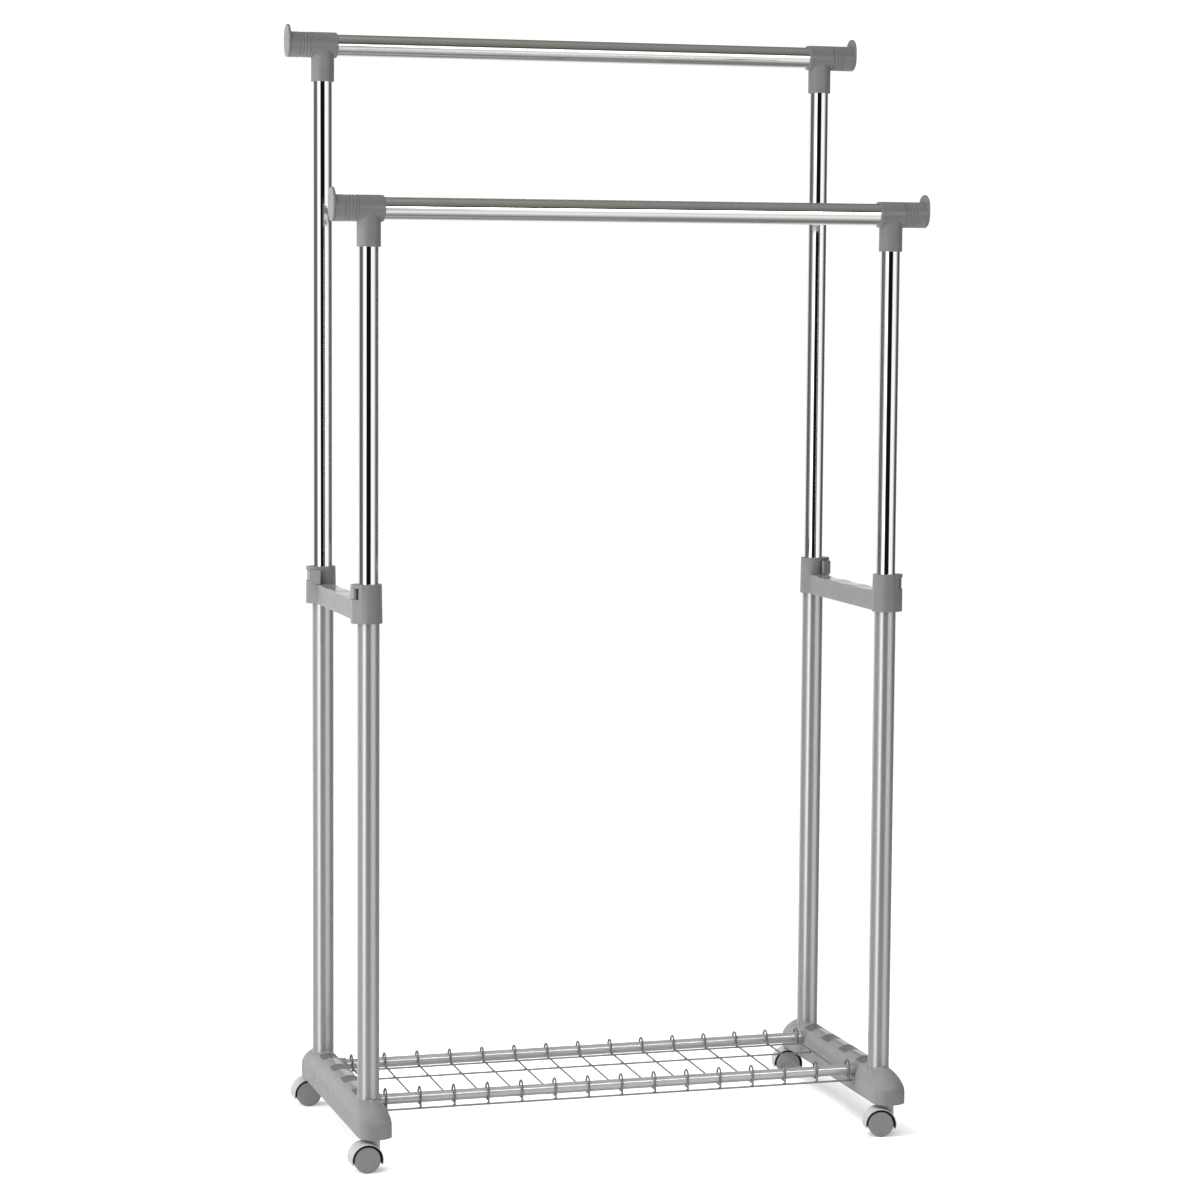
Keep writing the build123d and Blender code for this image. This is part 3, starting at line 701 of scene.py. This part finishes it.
class RACK_OT_bases(bpy.types.Operator):
    """Base mouldings with bell-shaped noses, recess pads and shelf rail sockets"""

    bl_idname = "rack.bases"
    bl_label = "Bases"

    def execute(self, context):
        sizes = context.scene.rack_sizes
        form = BaseShape()
        floor = form.floor()
        # painted shade: the base finish darkens the marked pads to half, for the shade in their recesses
        finish = painted_shade_moulding("base_moulding", context.scene.rack_finishes.moulding, 0.40, "pad", 0.50)
        polish(finish, add_node(finish.node_tree, "Attribute", {}, attribute_name="crown").outputs["Fac"])
        for side, sign in SIDES.items():
            node = f"{side}_base"
            low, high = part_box(node)
            middle = np.array([sign * sizes.span / 2, (low.y + high.y) / 2, 0.0])
            foot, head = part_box(f"front_{side}_lower_tube")
            sockets = [row * abs(foot.y + head.y) / 2 - middle[1] for row in ROWS.values()]
            radius = (head.x - foot.x) / 2 + FIT
            shell, mask, crown = form.shell(-sign, sockets, radius, foot.z - FIT)
            sheets = [sheet(shell + middle), sheet(floor + middle)]
            for row in ROWS.values():
                start = middle + (0.0, row * sizes.shelf_rail_offset, sizes.shelf_rail_height)
                sheets.append(self.socket(start, -sign, sizes))
            rest = np.zeros(sum(len(p) for p, _ in sheets[1:]))
            # the pad mark carries the painted shade of the pads; the crown mark only lowers the roughness
            marks = {"pad": np.concatenate([mask.ravel(), rest]), "crown": np.concatenate([crown.ravel(), rest])}
            lay_piece(f"{side}_base_moulding", sheets, node, finish, marks, 50.0)
        return {"FINISHED"}

    def socket(self, start, inward, sizes):
        """Socket boss turned about the shelf rail axis: wall with a rounded lip and a blind bore."""
        bore, wall, face, depth = sizes.shelf_rail_radius + FIT, 0.0022, 0.023, 0.014
        outer, soft, fine = bore + wall, 0.0008, 0.0006
        lip = arc((outer - soft, face - soft), soft, 0.0, math.pi / 2, 5)
        mouth = arc((bore + fine, face - fine), fine, math.pi / 2, math.pi, 4)
        profile = np.vstack([[(0.0, 0.0), (outer, 0.0)], lip, mouth, [(bore, face - depth), (0.0, face - depth)]])
        return turned(profile, start, (inward, 0.0, 0.0), 64)


class RACK_OT_brackets(bpy.types.Operator):
    """Brackets half way up, their lock levers and lever pins"""

    bl_idname = "rack.brackets"
    bl_label = "Brackets"

    def execute(self, context):
        for side in SIDES:
            dress(f"{side}_bracket", "bracket_plastic")
            for row in ROWS:
                dress(f"{row}_{side}_lock_lever")
        dress("lock_lever_pins")
        return {"FINISHED"}


class RACK_OT_fittings(bpy.types.Operator):
    """Tees and ribbed end stops of the hanging rails"""

    bl_idname = "rack.fittings"
    bl_label = "Rail fittings"

    def execute(self, context):
        for side in SIDES:
            for row in ROWS:
                dress(f"{row}_{side}_tee")
                dress(f"{row}_{side}_end_stop")
        return {"FINISHED"}


class RACK_OT_castors(bpy.types.Operator):
    """Castors: hood and web, twin wheels, axle and stem"""

    bl_idname = "rack.castors"
    bl_label = "Castors"

    near, far, dome, bore, bore_floor = 0.0030, 0.0142, 0.0003, 0.00256, 0.0019
    hood_wall, hood_half, hood_soft, skirt = 0.0012, 0.0142, 0.0005, 0.0055
    web_half, web_soft, web_middle, web_overlap = 0.0024, 0.0003, 0.005, 0.0003
    boss_radius, boss_top, boss_sink = 0.0055, 0.0407, 0.0004

    def execute(self, context):
        sizes = context.scene.rack_sizes
        for side in SIDES:
            for row in ROWS:
                name = f"{row}_{side}"
                dress(f"{name}_castor_stem")
                dress(f"{name}_castor_axle")
                for which in ("outer", "inner"):
                    self.wheel(f"{name}_{which}", sizes)
                self.hood(name, sizes)
        return {"FINISHED"}

    def wheel(self, name, sizes):
        """Wheel turned about its roll axis: slightly domed face, rounded rims, plain tread, blind bore."""
        joint = JOINTS[f"{name}_roll"]
        centre, axis = np.array(joint["pos_m"]), np.array(joint["axis"])
        low, high = (np.array(corner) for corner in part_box(f"{name}_wheel"))
        axis = axis * np.sign(((low + high) / 2 - centre) @ axis)
        radius, edge, floor = sizes.wheel_radius, sizes.wheel_edge, self.far - self.bore_floor
        face = np.linspace(0.0, radius - edge, 10)
        dome = np.stack([face, self.far - self.dome * (face / face[-1]) ** 2], axis=-1)
        rim = arc((radius - edge, self.far - self.dome - edge), edge, math.pi / 2, 0.0, 7)[1:]
        back = arc((radius - edge, self.near + edge), edge, 0.0, -math.pi / 2, 7)
        profile = np.vstack([dome, rim, back, [(self.bore, self.near), (self.bore, floor), (0.0, floor)]])
        surface = turned(profile, centre, axis, 96)
        lay_piece(f"{name}_wheel_tyre", [surface], f"{name}_wheel", finish_for("wheel_plastic"))

    def hood(self, name, sizes):
        """Hood, web and stem boss in the castor's own frame, then turned and moved to its stem."""
        swivel = JOINTS[f"{name}_castor_swivel"]
        ax, ay, _ = JOINTS[f"{name}_outer_roll"]["axis"]
        angle = math.atan2(-ax, ay)
        c, s = math.cos(angle), math.sin(angle)
        turn = np.array([[c, -s, 0.0], [s, c, 0.0], [0.0, 0.0, 1.0]])
        origin = np.array([swivel["pos_m"][0], swivel["pos_m"][1], 0.0])
        sheets = [self.hood_shell(sizes), self.hood_web(sizes), self.hood_boss(sizes)]
        axle = (-sizes.castor_trail, 0.0, sizes.wheel_radius)
        reach = [np.linalg.norm((points - axle)[:, ::2], axis=1) for points, _ in sheets]
        # inside marks the hood's inner side and the web; the finish paints shade there, for the dark gap round the
        # wheels
        inside = [(r < sizes.hood_inner + self.boss_sink) * 1.0 for r in reach[:2]] + [np.zeros(len(reach[2]))]
        sheets = [(points @ turn.T + origin, quads) for points, quads in sheets]
        node, marks = f"{name}_castor_hood", {"inside": np.concatenate(inside)}
        lay_piece(f"{node}_shell", sheets, node, finish_for("hood_plastic"), marks)

    def hood_shell(self, sizes):
        """Rounded strip section (r, y) carried over the wheels on an arc about the axle; both ends are cut
        level with the skirt, at the angle -asin(skirt / r)."""
        low, half, soft = sizes.hood_inner, self.hood_half, self.hood_soft
        high = low + self.hood_wall
        top, foot, edge = high - soft, low + soft, half - soft
        centres = ((top, edge), (foot, edge), (foot, -edge), (top, -edge))
        quarters = np.arange(5) * math.pi / 2
        loop = np.vstack([arc(spot, soft, *quarters[i : i + 2], 5) for i, spot in enumerate(centres)])
        share = np.linspace(0.0, 1.0, 81)[:, None]
        start = -np.arcsin(self.skirt / loop[:, 0])
        sweep = start + share * (math.pi - 2 * start)
        points = np.stack([
            loop[:, 0] * np.cos(sweep), np.broadcast_to(loop[:, 1], sweep.shape), loop[:, 0] * np.sin(sweep)
        ], axis=-1)
        caps = np.repeat(points[[0, -1]].mean(axis=1, keepdims=True), len(loop), axis=1)
        points = np.concatenate([caps[:1], points, caps[1:]])
        return sheet(points + (-sizes.castor_trail, 0.0, sizes.wheel_radius), closed_v=True)

    def hood_web(self, sizes):
        """Web between the wheels: a half-disc outline scaled about its middle, carried across its thickness."""
        reach, half = sizes.hood_inner + self.web_overlap, self.web_half
        start = -math.asin(self.skirt / reach)
        bow = arc((0.0, 0.0), reach, start, math.pi - start, 61)
        chord = np.linspace(bow[-1], bow[0], 22)[1:-1]
        outline = np.vstack([bow, chord]) - (0.0, self.web_middle)
        scale = np.array([0.0, 0.985, 1.0, 1.0, 0.985, 0.0])
        depth = np.array([-half, -half, self.web_soft - half, half - self.web_soft, half, half])
        flat = scale[:, None, None] * outline
        deep = np.broadcast_to(depth[:, None], flat.shape[:2])
        points = np.stack([flat[..., 0], deep, flat[..., 1] + self.web_middle], axis=-1)
        return sheet(points + (-sizes.castor_trail, 0.0, sizes.wheel_radius), closed_v=True)

    def hood_boss(self, sizes):
        """Stem boss: a round post whose foot rests on the hood, z = max(axle height, hood surface at x)."""
        radius, top, soft = self.boss_radius, self.boss_top, self.hood_soft
        turn = full_turn(48)
        reach = np.array([0.0, 0.5, 1.0]) * radius
        foot_x, foot_y = reach[:, None] * np.cos(turn), reach[:, None] * np.sin(turn)
        inside = np.maximum((sizes.hood_inner + self.boss_sink) ** 2 - (foot_x + sizes.castor_trail) ** 2, 0.0)
        foot = np.stack([foot_x, foot_y, sizes.wheel_radius + np.sqrt(inside)], axis=-1)
        lip = arc((radius - soft, top - soft), soft, 0.0, math.pi / 2, 5)
        rise = np.vstack([lip, [(0.0, top)]])
        post = np.stack([
            rise[:, :1] * np.cos(turn), rise[:, :1] * np.sin(turn), np.repeat(rise[:, 1:], len(turn), axis=1)
        ], axis=-1)
        return sheet(np.concatenate([foot, post]), closed_v=True)


# ---- stage


def ramp(tree, value, stops):
    """Colour of a ramp with grey or coloured stops (position, value or rgb), read at a value."""
    node = add_node(tree, "ValToRGB", {"Fac": value})
    elements = node.color_ramp.elements
    while len(elements) > 1:
        elements.remove(elements[-1])
    for i, (position, value) in enumerate(stops):
        element = elements[0] if i == 0 else elements.new(position)
        element.position = position
        rgb = (value,) * 3 if isinstance(value, float) else value
        element.color = (*rgb, 1.0)
    return node.outputs["Color"]


class RACK_OT_stage(bpy.types.Operator):
    """Pale floor, soft studio surroundings, lights and the camera"""

    bl_idname = "rack.stage"
    bl_label = "Stage"

    def execute(self, context):
        stage = context.scene.rack_stage
        self.add_camera(context, stage)
        self.add_floor(context, stage)
        self.add_surroundings(context, stage)
        self.add_light(
            context, "key_light", "AREA", (-2.1, 0.0, 1.0), (0.0, 0.0, 0.45),
            shape="RECTANGLE", size=1.4, size_y=1.3, energy=stage.key_power,
        )
        strip = self.add_light(
            context, "strip_light", "AREA", (0.45, -1.65, 1.55), (0.0, 0.0, 0.07),
            shape="RECTANGLE", size=2.6, size_y=0.28, energy=stage.strip_power,
        )
        strip.visible_glossy, strip.visible_diffuse = True, False
        self.hide_from(strip, [f"{row}_{side}_upper_tube_wall" for row in ROWS for side in SIDES])
        self.add_light(
            context, "top_light", "SUN", (-1.0, -0.4, 3.0), (0.0, 0.0, 0.0),
            angle=math.radians(70.0), energy=stage.top_power,
        )
        self.add_light(
            context, "back_sky", "SUN", (2.2, 1.8, 1.2), (0.0, 0.0, 0.4),
            angle=math.radians(90.0), energy=stage.back_power,
        )
        self.add_light(
            context, "shelf_fill", "SPOT", (-0.05, 0.0, 1.1), (0.08, -0.02, 0.0), energy=stage.fill_power,
            shadow_soft_size=0.25, spot_size=math.radians(62.0), spot_blend=0.6,
        )
        context.scene.view_settings.view_transform = "Standard"
        return {"FINISHED"}

    def add_camera(self, context, stage):
        """Camera at its place, with right, up and back, from azimuth, elevation and roll, as its axes."""
        a, e, r = stage.azimuth, stage.elevation, stage.roll
        back = np.array([math.sin(a) * math.cos(e), -math.cos(a) * math.cos(e), math.sin(e)])
        level = np.array([math.cos(a), math.sin(a), 0.0])
        upright = np.cross(level, -back)
        right = level * math.cos(r) + upright * math.sin(r)
        up = -level * math.sin(r) + upright * math.cos(r)
        data = bpy.data.cameras.new("studio_camera")
        data.sensor_width, data.lens, data.clip_end = 36.0, stage.lens, 100.0
        camera = bpy.data.objects.new("studio_camera", data)
        turn = np.eye(4)
        turn[:3, :3] = np.stack([right, up, back], axis=1)
        turn[:3, 3] = stage.place
        camera.matrix_world = Matrix(turn.tolist())
        context.scene.collection.objects.link(camera)
        context.scene.camera = camera

    def add_floor(self, context, stage):
        """Pale disc: rings (r cos t, r sin t, 0) about one inner face."""
        turn = full_turn(96)
        reach = np.linspace(0.0, 1.0, 9)[1:, None, None] * stage.floor_radius
        points = reach * np.stack([np.cos(turn), np.sin(turn), np.zeros_like(turn)], axis=-1)[None]
        vertices, quads = sheet(points, closed_v=True)
        mesh = bpy.data.meshes.new("floor")
        mesh.from_pydata(vertices.tolist(), [], quads[:, ::-1].tolist() + [list(range(len(turn)))])
        floor = bpy.data.objects.new("floor", mesh)
        context.scene.collection.objects.link(floor)
        finish = Finish("pale_floor")
        finish.feed(finish.tone(finish.noise(3.0, 4.0), (0.9, 0.9, 0.895), 0.99, 1.01), "Base Color")
        finish.feed(finish.spread(finish.noise(30.0), 0.55, 0.65), "Roughness")
        mesh.materials.append(finish.material)
        finish.feed((1.0, 1.0, 1.0, 1.0), "Emission Color")
        finish.feed(0.28, "Emission Strength")
        floor.visible_glossy = False

    def add_surroundings(self, context, stage):
        """White room seen by the camera; the tubes mirror a dark gap behind the camera between two white
        walls, two dim gaps at the sides and a dim ceiling."""
        world = bpy.data.worlds.new("studio")
        context.scene.world = world
        world.use_nodes = True
        tree = world.node_tree
        tree.nodes.clear()
        where = add_node(tree, "TexCoord", {}).outputs["Generated"]
        facing = {"Vector": where, "Rotation": (0.0, 0.0, -math.pi / 2 - stage.azimuth + math.pi)}
        faced = add_node(tree, "Mapping", facing, vector_type="VECTOR").outputs["Vector"]
        about = add_node(tree, "TexGradient", {"Vector": faced}, gradient_type="RADIAL").outputs["Fac"]
        walls = ramp(tree, about, [
            (0.0, 0.42), (0.14, 0.42), (0.17, 0.06), (0.29, 0.06), (0.31, 0.15), (0.335, 0.34), (0.352, 0.5),
            (0.37, 1.15), (0.41, 1.15), (0.425, 0.5), (0.432, 0.45), (0.445, 0.003), (0.575, 0.003), (0.59, 0.52),
            (0.68, 0.52), (0.73, 0.22), (0.76, 0.04), (0.87, 0.04), (0.91, 0.36), (1.0, 0.42),
        ])
        split = add_node(tree, "SeparateXYZ", {"Vector": where})
        height = add_node(tree, "MapRange", {"Value": split.outputs["Z"], "From Min": -1.0}).outputs["Result"]
        ceiling = ramp(tree, height, [
            (0.0, 0.23), (0.01, 0.22), (0.03, 0.10), (0.045, 0.10), (0.09, 0.20), (0.134, 0.28), (0.20, 0.42),
            (0.29, 0.42), (0.38, 0.20), (0.65, 0.20), (0.663, 0.004), (0.715, 0.004), (0.735, (0.055, 0.055, 0.05)),
            (0.787, (0.084, 0.084, 0.077)), (0.866, (0.095, 0.095, 0.087)), (0.933, (0.112, 0.112, 0.104)),
            (0.98, (0.128, 0.128, 0.12)), (0.992, 0.185), (1.0, 0.185),
        ])
        share = ramp(tree, height, [
            (0.0, 1.0), (0.20, 1.0), (0.30, 0.7), (0.385, 0.7), (0.402, 0.3), (0.42, 0.0), (0.648, 0.0),
            (0.66, 1.0), (1.0, 1.0),
        ])
        mix = add_node(tree, "Mix", {"Factor": share, "A": walls, "B": ceiling}, data_type="RGBA")
        room = add_node(tree, "Background", {"Color": mix.outputs["Result"], "Strength": 2.2})
        white = add_node(tree, "Background", {"Color": (1.0, 1.0, 1.0, 1.0), "Strength": 1.05})
        seen = add_node(tree, "LightPath", {}).outputs["Is Camera Ray"]
        inputs = {"Fac": seen, 1: room.outputs["Background"], 2: white.outputs["Background"]}
        choose = add_node(tree, "MixShader", inputs)
        add_node(tree, "OutputWorld", {"Surface": choose.outputs["Shader"]})

    def hide_from(self, light, names):
        """Keeps a light off the pieces of those names."""
        spared = bpy.data.collections.new(f"{light.name}_spared")
        for name in names:
            spared.objects.link(bpy.data.objects[name])
        for entry in spared.collection_objects:
            entry.light_linking.link_state = "EXCLUDE"
        light.light_linking.receiver_collection = spared

    def add_light(self, context, name, kind, place, aim, **settings):
        """Soft light at a place, turned to its aim; the tubes mirror only the room, not the light."""
        data = bpy.data.lights.new(name, kind)
        for setting, value in settings.items():
            setattr(data, setting, value)
        light = bpy.data.objects.new(name, data)
        turn = (Vector(aim) - Vector(place)).to_track_quat("-Z", "Y")
        light.matrix_world = Matrix.Translation(place) @ turn.to_matrix().to_4x4()
        light.visible_glossy = light.visible_camera = False
        context.scene.collection.objects.link(light)
        return light


# ---- add-on


PIECES = (
    RACK_OT_tubes,
    RACK_OT_wire_shelf,
    RACK_OT_bases,
    RACK_OT_brackets,
    RACK_OT_fittings,
    RACK_OT_castors,
    RACK_OT_stage,
)


class RACK_PT_panel(bpy.types.Panel):
    """Lists the pieces of the rack"""

    bl_idname = "RACK_PT_panel"
    bl_label = "Clothes rack"
    bl_space_type = "VIEW_3D"
    bl_region_type = "UI"
    bl_category = "Rack"

    def draw(self, context):
        for piece in PIECES:
            self.layout.operator(piece.bl_idname)


CLASSES = (RackSizes, RackFinishes, RackStage, *PIECES, RACK_PT_panel)


def register():
    for cls in CLASSES:
        bpy.utils.register_class(cls)
    bpy.types.Scene.rack_sizes = PointerProperty(type=RackSizes)
    bpy.types.Scene.rack_finishes = PointerProperty(type=RackFinishes)
    bpy.types.Scene.rack_stage = PointerProperty(type=RackStage)


def unregister():
    del bpy.types.Scene.rack_sizes
    del bpy.types.Scene.rack_finishes
    del bpy.types.Scene.rack_stage
    for cls in reversed(CLASSES):
        bpy.utils.unregister_class(cls)


def main():
    register()
    for piece in PIECES:
        group, action = piece.bl_idname.split(".")
        getattr(getattr(bpy.ops, group), action)()


if __name__ == "__main__":
    main()
